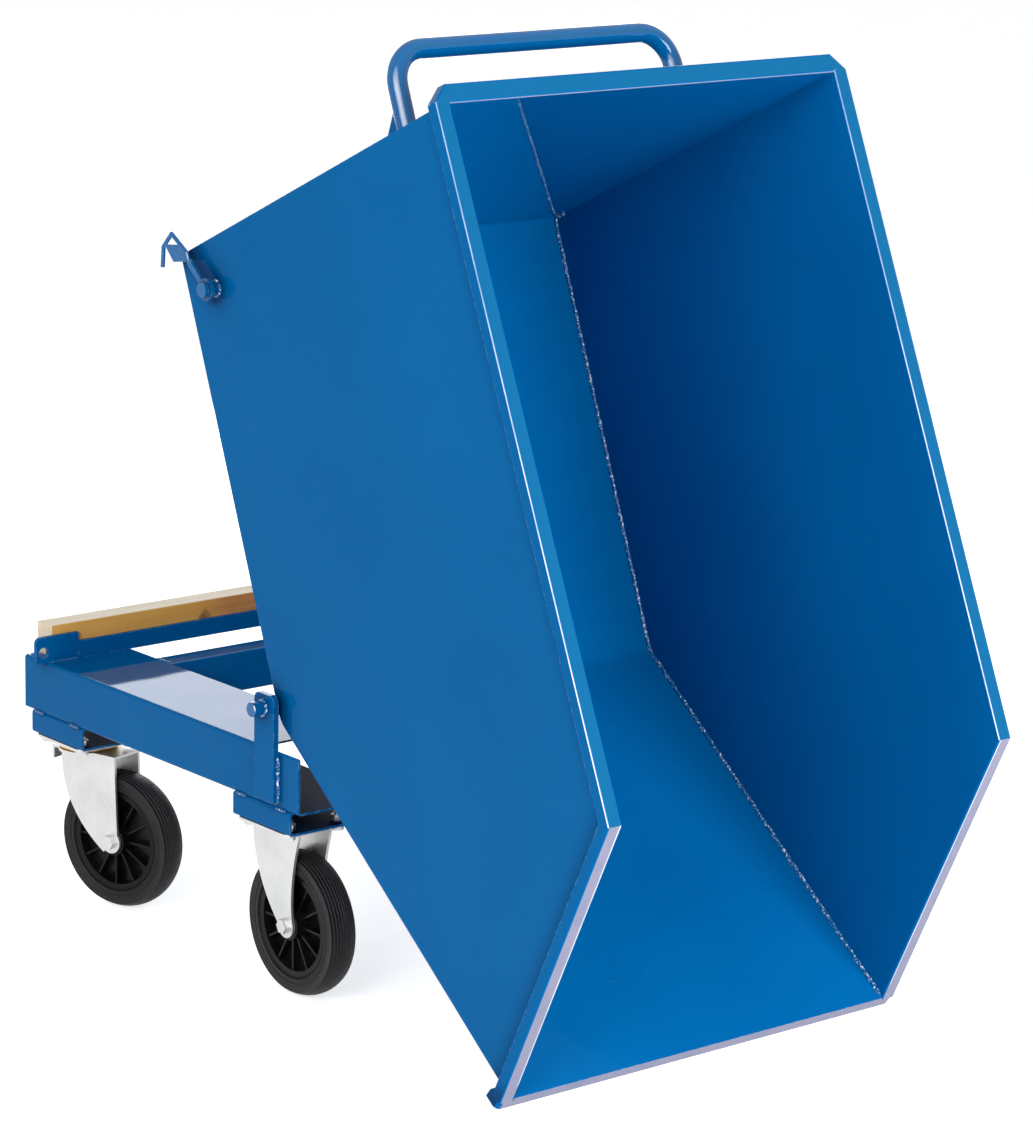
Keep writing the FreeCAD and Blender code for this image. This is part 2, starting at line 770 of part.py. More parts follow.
def axle_set():
    """Axle bolt with its head on one fork leg and its nut on the other, as two solids."""
    outside = fork_half_gap + fork_sheet
    end = outside + axle_nut_height + thread_past_nut
    shank = rod(axle_radius, (0, -outside, 0), (0, end, 0))
    bolt = shank.fuse(hexagon(axle_flats, axle_head_height, (0, -outside, 0), -ACROSS))
    nut = hexagon(axle_flats, axle_nut_height, (0, outside, 0), ACROSS)
    return group([bolt, nut.cut(rod(axle_radius, (0, 0, 0), (0, end, 0)))])


def fork_legs(edges, axle_x):
    """A pair of flat legs with one outline, each ending in a round eye about the axle."""
    face = Part.Face(Part.Wire(edges))
    legs = []
    for y in (-fork_half_gap - fork_sheet, fork_half_gap):
        leg = face.extrude(Vec(0, fork_sheet, 0))
        leg.translate(Vec(0, y, 0))
        near = (axle_x, y, wheel_radius)
        far = (axle_x, y + fork_sheet, wheel_radius)
        legs.append(leg.fuse(rod(fork_eye_radius, near, far)).cut(rod(axle_radius, near, far)))
    return legs


def top_plate():
    """Castor top plate with its four bolt holes."""
    half_length = plate_length / 2
    half_width = plate_width / 2
    solid = box(-half_length, half_length, -half_width, half_width, fork_top, pad_bottom)
    solid = rounded(solid, plate_corner_radius, lambda p, e: runs_along(e, UP))
    places = [(sx * plate_hole_x / 2, sy * plate_hole_y / 2) for sx in (-1, 1) for sy in (-1, 1)]
    return drilled(solid, places, castor_bolt_radius, fork_top - past, pad_bottom + past)


def fixed_fork():
    """Pressed fork of a fixed castor: top plate and two legs that taper to the axle ahead of its middle."""
    axle_x = fixed_plate_back
    rear_top_point = (axle_x - fixed_leg_rear, fork_top)
    rear_eye = (axle_x - fork_eye_radius, wheel_radius)
    front_eye = (axle_x + fork_eye_radius, wheel_radius)
    front_top_point = (axle_x + fixed_leg_front, fork_top)
    belly = (rear_top_point[0], wheel_radius + fixed_leg_belly_rise)
    waist = (axle_x + fixed_leg_waist, wheel_radius + fixed_leg_waist_rise)
    edges = [curve(rear_top_point, belly, rear_eye), line(rear_eye, front_eye),
             curve(front_eye, waist, front_top_point), line(front_top_point, rear_top_point)]
    solid = top_plate()
    for leg in fork_legs(edges, axle_x):
        solid = solid.fuse(leg)
    return solid.removeSplitter()


def swivel_fork():
    """Pressed fork of a swivel castor: a crown with a rear apron, and legs raked to the trailing axle."""
    half = fork_half_gap + fork_sheet
    rear_top_point = (-swivel_leg_rear, crown_low)
    belly = (-swivel_leg_belly, wheel_radius + swivel_leg_belly_rise)
    toe = (castor_trail - swivel_leg_toe, wheel_radius - fork_eye_radius)
    front_eye = (castor_trail + swivel_leg_toe, wheel_radius)
    front_top_point = (crown_front, crown_low)
    edges = [curve(rear_top_point, belly, toe), line(toe, front_eye),
             line(front_eye, front_top_point), line(front_top_point, rear_top_point)]
    crown = box(-crown_rear, crown_front, -half, half, crown_low, crown_top)
    crown = crown.fuse(Part.makeCylinder(race_radius, fork_sheet, Vec(0, 0, crown_low)))
    apron_low = crown_low - crown_apron
    crown = crown.fuse(box(-crown_rear, fork_sheet - crown_rear, -half, half, apron_low, crown_low))
    for leg in fork_legs(edges, castor_trail):
        crown = crown.fuse(leg)
    bore = rod(kingpin_radius + kingpin_clearance, (0, 0, crown_low - past), (0, 0, crown_top + past))
    return crown.cut(bore).removeSplitter()


def ball_race():
    """Closed ball race between the top plate and the fork crown, fixed to the plate."""
    low = fork_top - race_height - race_gap
    points = [(kingpin_radius, low), (race_radius - race_lip, low), (race_radius, low + race_lip),
              (race_radius - race_lip, fork_top), (kingpin_radius, fork_top)]
    return spun(ring_outline(points), UP)


def kingpin():
    """Swivel pin riveted in the top plate, with its nut below the fork crown."""
    nut_z = crown_low - race_gap - kingpin_nut_height
    shank = rod(kingpin_radius, (0, 0, nut_z), (0, 0, fork_top))
    return shank.fuse(hexagon(kingpin_flats, kingpin_nut_height, (0, 0, nut_z), UP))


def save_chassis():
    both_sides("side_member", side_member())
    both_sides("pivot_bracket", pivot_bracket())
    both_sides("pivot_pin", pivot_pin())
    right_pads = [castor_pad(rear_castor_x), castor_pad(front_castor_x)]
    right_bolts = castor_bolts(rear_castor_x) + castor_bolts(front_castor_x)
    save("castor_pads", group(right_pads + [on_left(pad) for pad in right_pads]))
    save("castor_bolts", group(right_bolts + [on_left(bolt) for bolt in right_bolts]))
    save("cross_member", cross_member())
    save("stop_angle", stop_angle())
    save("latch_lug", latch_lug())
    save("rest_bar", rest_bar())
    save("rest_bar_screws", group(bar_screws()))


def save_skip():
    save("skip_wrap", tipped(skip_wrap()))
    both_sides("skip_side", tipped(side_panel()))
    save("lip_bar", tipped(lip_bar()))
    save("pivot_tube", tipped(pivot_tube()))
    save("handle", tipped(handle()))
    save("handle_gussets", tipped(group(handle_gussets())))
    save("latch_spacer", tipped(latch_spacer()))
    save("latch_bolt", tipped(latch_bolt()))
    save("latch_lever", tipped(latch_lever()))


def save_castors():
    wheel_parts = {"tyre": tyre(), "wheel_centre": wheel_centre(), "wheel_bush": wheel_bush()}
    rear_parts = {"swivel_fork": swivel_fork(), "swivel_axle": on_axle(axle_set(), castor_trail)}
    plate_parts = {"swivel_plate": top_plate(), "ball_race": ball_race(), "kingpin": kingpin()}
    front_parts = {"fixed_fork": fixed_fork(), "fixed_axle": on_axle(axle_set(), fixed_plate_back)}
    for side_name, side in SIDES.items():
        for name, shape in wheel_parts.items():
            front = on_axle(shape, fixed_plate_back)
            rear = on_axle(shape, castor_trail)
            save(name + "_front_" + side_name, on_castor(front, front_castor_x, side))
            save(name + "_rear_" + side_name, on_castor(rear, rear_castor_x, side, castor_turn_angle))
        for name, shape in rear_parts.items():
            save(name + "_" + side_name, on_castor(shape, rear_castor_x, side, castor_turn_angle))
        for name, shape in plate_parts.items():
            save(name + "_" + side_name, on_castor(shape, rear_castor_x, side))
        for name, shape in front_parts.items():
            save(name + "_" + side_name, on_castor(shape, front_castor_x, side))


save_chassis()
save_skip()
save_castors()
latch_pivot = tipped_point(latch_place())
print("tipped angle", round(tip_angle, 3), "swing back to upright", round(tip_angle + lean_angle, 3))
print("middle of the overall length", round(middle_x, 3), "latch pivot", [round(v, 3) for v in latch_pivot])
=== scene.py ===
import json
import math
import random

import bpy
from mathutils import Matrix, Vector


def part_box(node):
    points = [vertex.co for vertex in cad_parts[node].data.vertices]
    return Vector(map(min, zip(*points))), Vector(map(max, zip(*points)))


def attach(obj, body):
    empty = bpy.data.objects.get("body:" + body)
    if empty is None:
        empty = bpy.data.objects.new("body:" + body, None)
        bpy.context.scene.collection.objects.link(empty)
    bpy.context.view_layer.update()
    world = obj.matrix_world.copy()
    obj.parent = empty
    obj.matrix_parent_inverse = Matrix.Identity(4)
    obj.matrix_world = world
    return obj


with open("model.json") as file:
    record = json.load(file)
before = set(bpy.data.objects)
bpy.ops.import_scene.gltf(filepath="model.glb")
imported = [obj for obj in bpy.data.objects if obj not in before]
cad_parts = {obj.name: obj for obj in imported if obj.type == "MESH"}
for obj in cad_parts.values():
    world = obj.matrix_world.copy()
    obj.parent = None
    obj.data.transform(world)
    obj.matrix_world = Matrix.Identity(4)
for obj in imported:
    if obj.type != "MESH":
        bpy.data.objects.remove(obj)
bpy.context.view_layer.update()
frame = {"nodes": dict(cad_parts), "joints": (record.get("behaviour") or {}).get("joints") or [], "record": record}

# Tipping skip trolley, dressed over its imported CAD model. Lengths are metres in the part's own frame.

nodes = frame["nodes"]
record = frame["record"]
joints = {joint["name"]: joint for joint in frame["joints"]}
chance = random.Random(7)

# Camera: the photograph's viewpoint, for an image of 1033 x 1130 pixels
image_height = 1130
focal_pixels = 4154.3
sensor_width = 36.0
camera_place = Vector((4.2507, -3.4397, 1.8818))
camera_yaw = math.radians(50.669)
camera_pitch = math.radians(-13.509)
camera_roll = math.radians(1.135)

# Stage
floor_half = 60.0
floor_glow = 0.68
world_light = 0.35
world_seen = 1.0

# Skip outline, drawn upright from the tipping pivot, as in the part's source
pivot = Vector(joints["skip_tip"]["pos_m"])
tip_angle = math.radians(68.599)
half_skip = 0.320
skip_sheet = 0.003
tube_radius = 0.01348
heel_ahead = 0.023
bottom_length = 0.635
rear_lean = 0.042
rear_height = 0.627
slope_run = 0.535
slope_rise = 0.324
rear_bend = 0.012
front_bend = 0.045
heel = Vector((heel_ahead, tube_radius))
rear_foot = heel - Vector((bottom_length, 0.0))
rear_top = rear_foot + Vector((-rear_lean, rear_height))
lip = heel + Vector((slope_run, slope_rise))

# Push handle on the rear wall
handle_rise = 0.419
half_handle = 0.231
handle_radius = 0.0135

# Ways that faces of the tipped skip look
rim_top_way = (0.92, 0.0, 0.39)
rim_side_bend_way = (0.65, -0.707, 0.28)
mouth_edge_way = (0.85, 0.0, -0.52)
mouth_bend_way = (0.872, 0.259, -0.415)
rear_wall_way = (0.426, 0.0, -0.905)

# Where the paint changes, and how far worn and highlit edges and the painted shade in creases reach
mouth_start = 0.24
rear_rim_height = 1.160
lip_height = 0.030
channel_top = 0.32
# Painted highlight lines on the rim's bends grow from part strength at the first height to full strength at the
# second
highlight_start = 1.10
highlight_full = 0.55
edge_radius = 0.0022
shade_reach = 0.05

# Painted highlight line on the mouth's inner bend, measured outward from the inside of the skip's sides
line_start = 0.0002
line_end = 0.0038

# Tyre mouldings: ribs round the tread and rings on the sides
rib_pitch = 0.0042
ring_pitch = 0.0062
tread_start = 0.089
side_end = 0.087
moulding_fade = 0.003

# Knot in the timber bar, and the stretch along the bar where the wood turns from golden to brown
knot_y = -0.055
knot_share = 0.45
knot_inner = 0.004
knot_outer = 0.013
knot_ragged = 0.006
turn_before = 0.02
turn_after = 0.05

# Weld bead sizes, and the steps in a bend or a ring
bead_radius = 0.0030
small_bead_radius = 0.0026
bead_ripple = 0.0042
bead_sides = 8
arc_steps = 8
ring_steps = 24

# Shares of a weld bead's radius: its ripples, its ends, and how far its middle stands off a corner's faces
bead_valley = 0.86
bead_crest = 0.16
bead_wobble = 0.07
bead_end = 0.45
bead_standoff = 0.35

# Where weld beads start, stop and repeat
seam_start_share = 0.96
seam_end_share = 0.008
tube_weld_share = 0.5
tube_weld_sink = 0.0012
tube_stitches = (-0.26, -0.09, 0.09, 0.26)
half_tube_stitch = 0.025
edge_inset = 0.006
cross_inset = 0.004
pad_length = 0.130
pad_stitch_shift = 0.045
half_pad_stitch = 0.012

# Paint colours, linear
deep_blue = (0.0003, 0.112, 0.332, 1)
clear_blue = (0.0004, 0.126, 0.362, 1)
dusty_blue = (0.14, 0.26, 0.42, 1)
scuffed_blue = (0.10, 0.28, 0.50, 1)
chipped_and_highlit_blue = (0.28, 0.45, 0.66, 1)
darker_rim_blue = (0.008, 0.112, 0.245, 1)
painted_reflection_grey = (0.27, 0.27, 0.37, 1)
painted_highlight_white = (0.80, 0.85, 0.90, 1)
painted_shade_blue = (0.0003, 0.030, 0.110, 1)
painted_shade_channel_blue = (0.003, 0.018, 0.050, 1)
deep_weld = (0.001, 0.085, 0.260, 1)
clear_weld = (0.010, 0.160, 0.400, 1)
painted_weld_glint = (0.90, 0.93, 0.96, 1)

# Timber colours, linear
golden_light = (1.00, 0.50, 0.09, 1)
golden_dark = (0.94, 0.38, 0.06, 1)
brown_light = (0.80, 0.30, 0.08, 1)
brown_dark = (0.58, 0.17, 0.05, 1)
fibre_light = (1.00, 0.58, 0.16, 1)
knot_dark = (0.16, 0.055, 0.018, 1)
planed_light = (0.84, 0.74, 0.57, 1)
planed_dark = (0.72, 0.59, 0.42, 1)


def add_camera():
    """Camera at the photograph's viewpoint, with no lens shift."""
    right = Vector((math.cos(camera_yaw), math.sin(camera_yaw), 0))
    level = math.cos(camera_pitch)
    ahead = Vector((-math.sin(camera_yaw) * level, math.cos(camera_yaw) * level, math.sin(camera_pitch)))
    up = right.cross(ahead)
    rolled_right = right * math.cos(camera_roll) + up * math.sin(camera_roll)
    rolled_up = up * math.cos(camera_roll) - right * math.sin(camera_roll)
    data = bpy.data.cameras.new("camera")
    data.sensor_width = sensor_width
    data.lens = focal_pixels * sensor_width / image_height
    camera = bpy.data.objects.new("camera", data)
    turn = Matrix((rolled_right, rolled_up, -ahead)).transposed()
    camera.matrix_world = Matrix.Translation(camera_place) @ turn.to_4x4()
    bpy.context.scene.collection.objects.link(camera)
    bpy.context.scene.camera = camera


# Small helpers for shader graphs


def new_material(name):
    """A material with its node tree and its Principled node."""
    material = bpy.data.materials.new(name)
    material.use_nodes = True
    tree = material.node_tree
    return material, tree, tree.nodes["Principled BSDF"]


def node(tree, kind, inputs=None, output=0, **settings):
    """Add a shader node; an input is a number, a colour or another node's output."""
    made = tree.nodes.new("ShaderNode" + kind)
    for key, value in settings.items():
        setattr(made, key, value)
    for key, value in (inputs or {}).items():
        plug(tree, made, key, value)
    return made.outputs[output]


def plug(tree, made, key, value):
    """Set an input of a node, or link it."""
    if isinstance(value, bpy.types.NodeSocket):
        tree.links.new(value, made.inputs[key])
    else:
        made.inputs[key].default_value = value


def place(tree):
    """Position on the piece, in metres."""
    return node(tree, "TexCoord", output="Object")


def part_of(tree, vector, axis):
    """One coordinate of a vector."""
    return node(tree, "SeparateXYZ", {"Vector": vector}, output=axis)


def dot(tree, first, second):
    """Dot product of two vectors."""
    return node(tree, "VectorMath", {0: first, 1: second}, output="Value", operation="DOT_PRODUCT")


def noise(tree, vector, scale, detail=2.0, rough=0.5, distortion=0.0):
    """Cloudy noise, whose scale is the number of cells to each unit of the vector."""
    inputs = {"Vector": vector, "Scale": scale, "Detail": detail}
    inputs.update({"Roughness": rough, "Distortion": distortion})
    return node(tree, "TexNoise", inputs)


def stretched(tree, vector, scale):
    """A position scaled by its own amount along each axis."""
    return node(tree, "Mapping", {"Vector": vector, "Scale": scale})


def span(tree, value, low, high, to_low=0.0, to_high=1.0):
    """Map a range of values to another range, clamped."""
    inputs = {"Value": value, "From Min": low, "From Max": high, "To Min": to_low, "To Max": to_high}
    return node(tree, "MapRange", inputs)


def past(tree, value, start, fade):
    """Mask that is 0 up to a start and 1 a fade further on; a negative fade runs the other way."""
    return span(tree, value, start, start + fade)


def facing(tree, way):
    """How far a face of the piece looks one way, from -1 to 1."""
    normal = node(tree, "TexCoord", output="Normal")
    return dot(tree, normal, Vector(way).normalized())


def looking(tree, way, low, high):
    """Mask of the faces that look one way: 0 where facing is low, 1 where it is high."""
    return span(tree, facing(tree, way), low, high)


def times(tree, first, second):
    """Product of two values."""
    return node(tree, "Math", {0: first, 1: second}, operation="MULTIPLY")


def plus(tree, first, second):
    """Sum of two values."""
    return node(tree, "Math", {0: first, 1: second}, operation="ADD")


def larger(tree, first, second):
    """The larger of two values."""
    return node(tree, "Math", {0: first, 1: second}, operation="MAXIMUM")


def unsigned(tree, value):
    """A value without its sign."""
    return node(tree, "Math", {0: value}, operation="ABSOLUTE")


def ripples(tree, value, pitch):
    """A sine wave along a value, from -1 to 1."""
    return node(tree, "Math", {0: times(tree, value, 2 * math.pi / pitch)}, operation="SINE")


def mixed(tree, share, first, second):
    """Mix two colours."""
    made = tree.nodes.new("ShaderNodeMix")
    made.data_type = "RGBA"
    plug(tree, made, 0, share)
    plug(tree, made, 6, first)
    plug(tree, made, 7, second)
    return made.outputs[2]


def bump(tree, height, distance, strength=1.0, normal=None):
    """A normal bent by a height, on top of another normal where one is given."""
    inputs = {"Height": height, "Distance": distance, "Strength": strength}
    if normal is not None:
        inputs["Normal"] = normal
    return node(tree, "Bump", inputs)


def edge_mask(tree, radius, low, high):
    """How close a point is to a sharp edge, from the difference between the true and a rounded normal."""
    true_normal = node(tree, "NewGeometry", output="Normal")
    soft_normal = node(tree, "Bevel", {"Radius": radius}, samples=4)
    return span(tree, dot(tree, true_normal, soft_normal), high, low)


# Masks on the paint


def off_centre(tree, where):
    """Distance from the trolley's middle plane."""
    return unsigned(tree, part_of(tree, where, "Y"))


def outside_skip(tree, where):
    """Mask of what lies further out than the inner faces of the skip's sides."""
    return past(tree, off_centre(tree, where), half_skip, fade=0.0005)


def pouring_edge_reflection(tree, where):
    """Mask of the faces round the pouring mouth that look forward and down, where a pale reflection is painted in
    uneven patches.
    """
    looks = looking(tree, mouth_edge_way, 0.950, 0.975)
    ahead = past(tree, part_of(tree, where, "X"), mouth_start, fade=0.02)
    reflection_patches = span(tree, noise(tree, where, 26.0, detail=4.0, rough=0.6), 0.25, 0.55, to_low=0.80)
    return times(tree, times(tree, looks, ahead), reflection_patches)


def rim_top(tree, where):
    """Mask of the rim's flat top round the sides and the rear, which is painted a darker blue."""
    looks = looking(tree, rim_top_way, 0.990, 0.996)
    at_rear = past(tree, part_of(tree, where, "Z"), rear_rim_height, fade=0.005)
    return times(tree, looks, larger(tree, outside_skip(tree, where), at_rear))


def mouth_bend_highlight(tree, where):
    """Mask of a thin painted highlight line along the inner bend of the pouring mouth's slanted edges."""
    out = off_centre(tree, where)
    past_start = past(tree, out, half_skip + line_start, fade=0.0003)
    before_end = past(tree, out, half_skip + line_end, fade=-0.0006)
    above_lip = past(tree, part_of(tree, where, "Z"), lip_height, fade=0.010)
    looks = looking(tree, mouth_bend_way, 0.88, 0.91)
    return times(tree, times(tree, times(tree, past_start, before_end), above_lip), looks)


def rim_bend_highlights(tree, where):
    """Mask of thin painted highlight lines along the rim's bends, strongest low down."""
    side_bend = looking(tree, rim_side_bend_way, 0.950, 0.985)
    either = larger(tree, side_bend, mouth_bend_highlight(tree, where))
    low_down = span(tree, part_of(tree, where, "Z"), highlight_start, highlight_full, to_low=0.45)
    patchy = span(tree, noise(tree, where, 14.0, detail=4.0, rough=0.6), 0.35, 0.60, to_low=0.6)
    return times(tree, times(tree, either, low_down), patchy)


def side_crease_shade(tree, where):
    """Mask of painted shade in the creases on the skip's outer sides, beside the rim and the latch."""
    occlusion = node(tree, "AmbientOcclusion", {"Distance": shade_reach}, output="AO", samples=8)
    sideways = span(tree, unsigned(tree, facing(tree, (0, 1, 0))), 0.90, 0.95)
    outer_side = times(tree, outside_skip(tree, where), sideways)
    return times(tree, outer_side, span(tree, occlusion, 0.76, 0.97, to_low=0.80, to_high=0.0))


def channel_floor_shade(tree, where):
    """Mask of the upward faces inside the chassis channels, which get painted shade and a duller finish."""
    up = looking(tree, (0, 0, 1), 0.90, 0.95)
    return times(tree, up, past(tree, part_of(tree, where, "Z"), channel_top, fade=-0.02))


# Materials


def aged_blue(tree, where):
    """Blue of uneven depth, with dust, scuffs and pale edges that are partly chipped wear and partly painted edge
    highlight.
    """
    depth = noise(tree, where, 2.6, detail=3.0)
    colour = mixed(tree, span(tree, depth, 0.35, 0.65), deep_blue, clear_blue)
    dust = noise(tree, where, 38.0, detail=6.0, rough=0.7)
    colour = mixed(tree, span(tree, dust, 0.60, 0.84, to_high=0.06), colour, dusty_blue)
    scuff = noise(tree, stretched(tree, where, (9.0, 9.0, 150.0)), 1.0, detail=4.0, rough=0.6)
    colour = mixed(tree, span(tree, scuff, 0.68, 0.82, to_high=0.12), colour, scuffed_blue)
    chips = span(tree, noise(tree, where, 120.0, detail=4.0, rough=0.6), 0.44, 0.62)
    # Pale sharp edges: partly chipped wear, partly painted edge highlight.
    worn_and_highlit = times(tree, edge_mask(tree, edge_radius, 0.80, 0.985), chips)
    return mixed(tree, span(tree, worn_and_highlit, 0.1, 1.0, to_high=0.75), colour, chipped_and_highlit_blue)


def blue_paint(name, gloss, tint):
    """Glossy blue paint with slight waves and orange peel, darker on the rim's top, with a painted pale reflection
    at the pouring rim, painted highlights on the rim's bends and painted shade in the creases and channels.
    """
    material, tree, shader = new_material(name)
    where = place(tree)
    in_channel_shade = channel_floor_shade(tree, where)
    colour = aged_blue(tree, where)
    colour = mixed(tree, times(tree, rim_top(tree, where), 0.8), colour, darker_rim_blue)
    # Painted pale reflection on the pouring mouth's forward and downward faces.
    colour = mixed(tree, pouring_edge_reflection(tree, where), colour, painted_reflection_grey)
    # Painted highlight lines along the rim's bends.
    colour = mixed(tree, rim_bend_highlights(tree, where), colour, painted_highlight_white)
    # Painted shade in the creases beside the rim and the latch.
    colour = mixed(tree, side_crease_shade(tree, where), colour, painted_shade_blue)
    # Painted shade on the floors inside the chassis channels.
    colour = mixed(tree, in_channel_shade, colour, painted_shade_channel_blue)
    plug(tree, shader, "Base Color", colour)
    smear = span(tree, noise(tree, where, 9.0, detail=5.0, rough=0.6), 0.3, 0.75, to_low=0.02, to_high=0.07)
    plug(tree, shader, "Roughness", larger(tree, smear, times(tree, in_channel_shade, 0.7)))
    waves = bump(tree, noise(tree, where, 7.0, detail=1.0), 0.012, strength=0.08)
    peel = noise(tree, where, 420.0)
    plug(tree, shader, "Normal", bump(tree, peel, 0.0004, strength=0.05, normal=waves))
    plug(tree, shader, "Coat Weight", looking(tree, rear_wall_way, 0.985, 0.995))
    shader.inputs["Coat Roughness"].default_value = 0.02
    shader.inputs["IOR"].default_value = gloss
    shader.inputs["Specular Tint"].default_value = tint
    return material


def sheet_paint():
    """The paint on flat sheet, which mirrors only at a low angle."""
    return blue_paint("sheet_paint", gloss=1.13, tint=(0.04, 0.45, 0.90, 1))


def bar_paint():
    """The paint on tubes, pins and bars, with white highlights."""
    return blue_paint("bar_paint", gloss=1.45, tint=(0.8, 0.9, 1.0, 1))


def weld_paint(name, glint_level):
    """The same paint over weld beads, with painted white glints on the ripples."""
    material, tree, shader = new_material(name)
    where = place(tree)
    grain = noise(tree, where, 260.0, detail=4.0, rough=0.6)
    colour = mixed(tree, span(tree, grain, 0.35, 0.7), deep_weld, clear_weld)
    # Painted glints: white flecks where the noise passes a level.
    painted_glint = past(tree, noise(tree, where, 290.0, detail=3.0, rough=0.6), glint_level, fade=0.03)
    plug(tree, shader, "Base Color", mixed(tree, painted_glint, colour, painted_weld_glint))
    plug(tree, shader, "Roughness", span(tree, grain, 0.3, 0.7, to_low=0.12, to_high=0.30))
    plug(tree, shader, "Normal", bump(tree, grain, 0.0012, strength=0.5))
    return material


def bright_zinc():
    """Zinc-plated pressed steel: pale, faintly mottled, with soft drawing marks."""
    material, tree, shader = new_material("bright_zinc")
    where = place(tree)
    cloud = noise(tree, where, 22.0, detail=4.0, rough=0.6)
    colour = mixed(tree, span(tree, cloud, 0.3, 0.7), (0.56, 0.57, 0.56, 1), (0.68, 0.68, 0.67, 1))
    marks = noise(tree, stretched(tree, where, (60.0, 60.0, 900.0)), 1.0, detail=3.0, rough=0.6)
    colour = mixed(tree, span(tree, marks, 0.58, 0.78, to_high=0.12), colour, (0.46, 0.47, 0.48, 1))
    plug(tree, shader, "Base Color", colour)
    plug(tree, shader, "Roughness", span(tree, cloud, 0.3, 0.7, to_low=0.26, to_high=0.40))
    plug(tree, shader, "Normal", bump(tree, marks, 0.0003, strength=0.12))
    shader.inputs["Metallic"].default_value = 0.8
    return material


def yellow_zinc():
    """Yellow passivated zinc of the ball races."""
    material, tree, shader = new_material("yellow_zinc")
    where = place(tree)
    cloud = noise(tree, where, 60.0, detail=4.0, rough=0.6)
    colour = mixed(tree, span(tree, cloud, 0.3, 0.7), (0.82, 0.46, 0.09, 1), (0.84, 0.60, 0.24, 1))
    plug(tree, shader, "Base Color", colour)
    plug(tree, shader, "Roughness", span(tree, cloud, 0.3, 0.7, to_low=0.24, to_high=0.42))
    plug(tree, shader, "Normal", bump(tree, cloud, 0.0003, strength=0.3))
    shader.inputs["Metallic"].default_value = 0.9
    return material


def timber():
    """Planed softwood: golden front that turns red-brown past a knot, paler top and ends."""
    material, tree, shader = new_material("timber")
    where = place(tree)
    low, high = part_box("rest_bar")
    knot = Vector((high[0], knot_y, low[2] + knot_share * (high[2] - low[2])))
    lengthwise = stretched(tree, where, (55.0, 2.4, 55.0))
    grain = noise(tree, lengthwise, 1.0, detail=4.0, rough=0.6, distortion=0.6)
    streak = span(tree, grain, 0.36, 0.64)
    golden = mixed(tree, streak, golden_light, golden_dark)
    brown = mixed(tree, streak, brown_light, brown_dark)
    turned = span(tree, part_of(tree, where, "Y"), knot_y - turn_before, knot_y + turn_after)
    colour = mixed(tree, turned, golden, brown)
    fibre = noise(tree, stretched(tree, where, (500.0, 7.0, 500.0)), 1.0, detail=3.0, rough=0.6)
    colour = mixed(tree, span(tree, fibre, 0.35, 0.7, to_high=0.30), colour, fibre_light)
    swirl = noise(tree, where, 90.0, detail=3.0, rough=0.6)
    away = node(tree, "VectorMath", {0: where, 1: knot}, output="Value", operation="DISTANCE")
    ragged = plus(tree, away, span(tree, swirl, 0.3, 0.7, to_low=-knot_ragged, to_high=knot_ragged))
    in_knot = span(tree, ragged, knot_inner, knot_outer, to_low=0.75, to_high=0.0)
    colour = mixed(tree, in_knot, colour, knot_dark)
    front = looking(tree, (1, 0, 0), 0.55, 0.75)
    planed = mixed(tree, streak, planed_light, planed_dark)
    plug(tree, shader, "Base Color", mixed(tree, front, planed, colour))
    plug(tree, shader, "Roughness", span(tree, fibre, 0.3, 0.7, to_low=0.5, to_high=0.75))
    plug(tree, shader, "Normal", bump(tree, fibre, 0.0006, strength=0.4))
    return material


def tyre_moulding(tree, where, wheel):
    """Height of the ribs round a tyre's tread and of the rings on its sides, from -1 to 1."""
    spin = joints["wheel_spin_" + wheel]
    from_hub = node(tree, "VectorMath", {0: where, 1: spin["pos_m"]}, operation="SUBTRACT")
    across = dot(tree, from_hub, spin["axis"])
    swept = node(tree, "VectorMath", {0: from_hub, 1: spin["axis"]}, operation="CROSS_PRODUCT")
    out = node(tree, "VectorMath", {0: swept}, output="Value", operation="LENGTH")
    on_tread = past(tree, out, tread_start, moulding_fade)
    on_side = past(tree, out, side_end, -moulding_fade)
    ribs = times(tree, ripples(tree, across, rib_pitch), on_tread)
    rings = times(tree, ripples(tree, out, ring_pitch), on_side)
    return plus(tree, ribs, rings)


def rubber(wheel):
    """Black rubber tyre, dusty and speckled, with fine ribs round the tread and rings on the sides, and painted
    shade in their grooves.
    """
    material, tree, shader = new_material("rubber_" + wheel)
    where = place(tree)
    moulding = tyre_moulding(tree, where, wheel)
    dust = noise(tree, where, 45.0, detail=6.0, rough=0.65)
    colour = mixed(tree, span(tree, dust, 0.4, 0.75), (0.008, 0.008, 0.009, 1), (0.024, 0.024, 0.026, 1))
    speckle = noise(tree, where, 420.0, detail=3.0, rough=0.6)
    colour = mixed(tree, span(tree, speckle, 0.54, 0.70, to_high=0.7), colour, (0.055, 0.055, 0.059, 1))
    # Painted shade in the grooves between the ribs and rings.
    groove_shade = span(tree, moulding, 0.2, -0.8, to_high=0.8)
    plug(tree, shader, "Base Color", mixed(tree, groove_shade, colour, (0.002, 0.002, 0.002, 1)))
    plug(tree, shader, "Roughness", span(tree, dust, 0.3, 0.7, to_low=0.42, to_high=0.64))
    grain = bump(tree, noise(tree, where, 900.0), 0.0004, strength=0.3)
    plug(tree, shader, "Normal", bump(tree, moulding, 0.0009, strength=0.9, normal=grain))
    shader.inputs["Specular IOR Level"].default_value = 0.22
    return material


